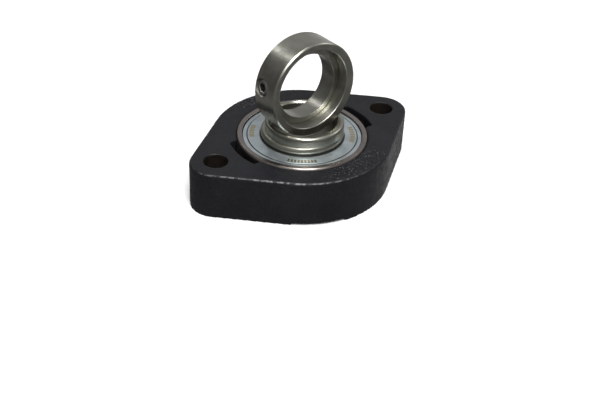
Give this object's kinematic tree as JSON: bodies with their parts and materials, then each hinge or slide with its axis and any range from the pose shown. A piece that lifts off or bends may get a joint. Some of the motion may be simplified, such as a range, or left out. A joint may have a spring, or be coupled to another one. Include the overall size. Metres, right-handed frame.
{
  "type": "flange mount bearing",
  "caption": "Two-bolt rhombic cast flange bearing with a self-aligning ball insert and a loose eccentric locking collar standing in its bore.",
  "frame": {"origin": "centre of the mounting face, on the bearing axis", "axes": "+Z along the bearing axis away from the mounting face, +X along the line through the two bolt holes"},
  "size_m": [0.0956, 0.069, 0.0583],
  "materials": {
    "casting_paint": "dark grey-blue paint over sand-cast iron",
    "ring_steel": "ground bearing steel",
    "inner_steel": "ground bearing steel, lightly oiled",
    "shield_zinc": "bluish zinc plate on pressed sheet",
    "seal_rubber": "black nitrile rubber",
    "cage_nylon": "natural moulded nylon",
    "ball_steel": "polished bearing steel",
    "collar_steel": "turned and tumbled steel, lightly oiled",
    "screw_steel": "plain hardened steel"
  },
  "bodies": {
    "housing": {"housing": "casting_paint"},
    "insert": {"outer_ring": "ring_steel", "front_shield": "shield_zinc", "front_lip": "seal_rubber", "front_washer": "shield_zinc", "rear_shield": "shield_zinc", "rear_lip": "seal_rubber", "rear_washer": "shield_zinc"},
    "inner_ring": {"inner_ring": "inner_steel"},
    "cage": {"cage": "cage_nylon"},
    "ball_1": {"ball_1": "ball_steel"},
    "ball_2": {"ball_2": "ball_steel"},
    "ball_3": {"ball_3": "ball_steel"},
    "ball_4": {"ball_4": "ball_steel"},
    "ball_5": {"ball_5": "ball_steel"},
    "ball_6": {"ball_6": "ball_steel"},
    "ball_7": {"ball_7": "ball_steel"},
    "ball_8": {"ball_8": "ball_steel"},
    "ball_9": {"ball_9": "ball_steel"},
    "locking_collar": {"locking_collar": "collar_steel"},
    "set_screw": {"set_screw": "screw_steel"}
  },
  "joints": [
    {"name": "insert_alignment", "type": "hinge", "parent": "housing", "child": "insert", "pos_m": [0, 0, 0.0112], "axis": [1, 0, 0], "range_deg": [-5, 5]},
    {"name": "shaft_spin", "type": "hinge", "parent": "insert", "child": "inner_ring", "pos_m": [0, 0, 0.0112], "axis": [0, 0, 1], "continuous": true},
    {"name": "cage_spin", "type": "hinge", "parent": "insert", "child": "cage", "pos_m": [0, 0, 0.0112], "axis": [0, 0, 1], "continuous": true},
    {"name": "ball_1_spin", "type": "hinge", "parent": "cage", "child": "ball_1", "pos_m": [0.01952, 0, 0.0112], "axis": [0, 0, 1], "continuous": true},
    {"name": "ball_2_spin", "type": "hinge", "parent": "cage", "child": "ball_2", "pos_m": [0.01495, 0.01255, 0.0112], "axis": [0, 0, 1], "continuous": true},
    {"name": "ball_3_spin", "type": "hinge", "parent": "cage", "child": "ball_3", "pos_m": [0.00339, 0.01922, 0.0112], "axis": [0, 0, 1], "continuous": true},
    {"name": "ball_4_spin", "type": "hinge", "parent": "cage", "child": "ball_4", "pos_m": [-0.00976, 0.0169, 0.0112], "axis": [0, 0, 1], "continuous": true},
    {"name": "ball_5_spin", "type": "hinge", "parent": "cage", "child": "ball_5", "pos_m": [-0.01834, 0.00668, 0.0112], "axis": [0, 0, 1], "continuous": true},
    {"name": "ball_6_spin", "type": "hinge", "parent": "cage", "child": "ball_6", "pos_m": [-0.01834, -0.00668, 0.0112], "axis": [0, 0, 1], "continuous": true},
    {"name": "ball_7_spin", "type": "hinge", "parent": "cage", "child": "ball_7", "pos_m": [-0.00976, -0.0169, 0.0112], "axis": [0, 0, 1], "continuous": true},
    {"name": "ball_8_spin", "type": "hinge", "parent": "cage", "child": "ball_8", "pos_m": [0.00339, -0.01922, 0.0112], "axis": [0, 0, 1], "continuous": true},
    {"name": "ball_9_spin", "type": "hinge", "parent": "cage", "child": "ball_9", "pos_m": [0.01495, -0.01255, 0.0112], "axis": [0, 0, 1], "continuous": true},
    {"name": "collar_lift", "type": "slide", "parent": "inner_ring", "child": "locking_collar", "axis": [0, 0, 1], "range_m": [0, 0.012]},
    {"name": "set_screw_feed", "type": "slide", "parent": "locking_collar", "child": "set_screw", "axis": [0.984, 0.0403, -0.1735], "range_m": [0, 0.002]}
  ],
  "couplings": [
    {"joint": "cage_spin", "follows": "shaft_spin", "ratio": 0.39833},
    {"joint": "ball_1_spin", "follows": "shaft_spin", "ratio": -2.3551},
    {"joint": "ball_2_spin", "follows": "shaft_spin", "ratio": -2.3551},
    {"joint": "ball_3_spin", "follows": "shaft_spin", "ratio": -2.3551},
    {"joint": "ball_4_spin", "follows": "shaft_spin", "ratio": -2.3551},
    {"joint": "ball_5_spin", "follows": "shaft_spin", "ratio": -2.3551},
    {"joint": "ball_6_spin", "follows": "shaft_spin", "ratio": -2.3551},
    {"joint": "ball_7_spin", "follows": "shaft_spin", "ratio": -2.3551},
    {"joint": "ball_8_spin", "follows": "shaft_spin", "ratio": -2.3551},
    {"joint": "ball_9_spin", "follows": "shaft_spin", "ratio": -2.3551}
  ]
}
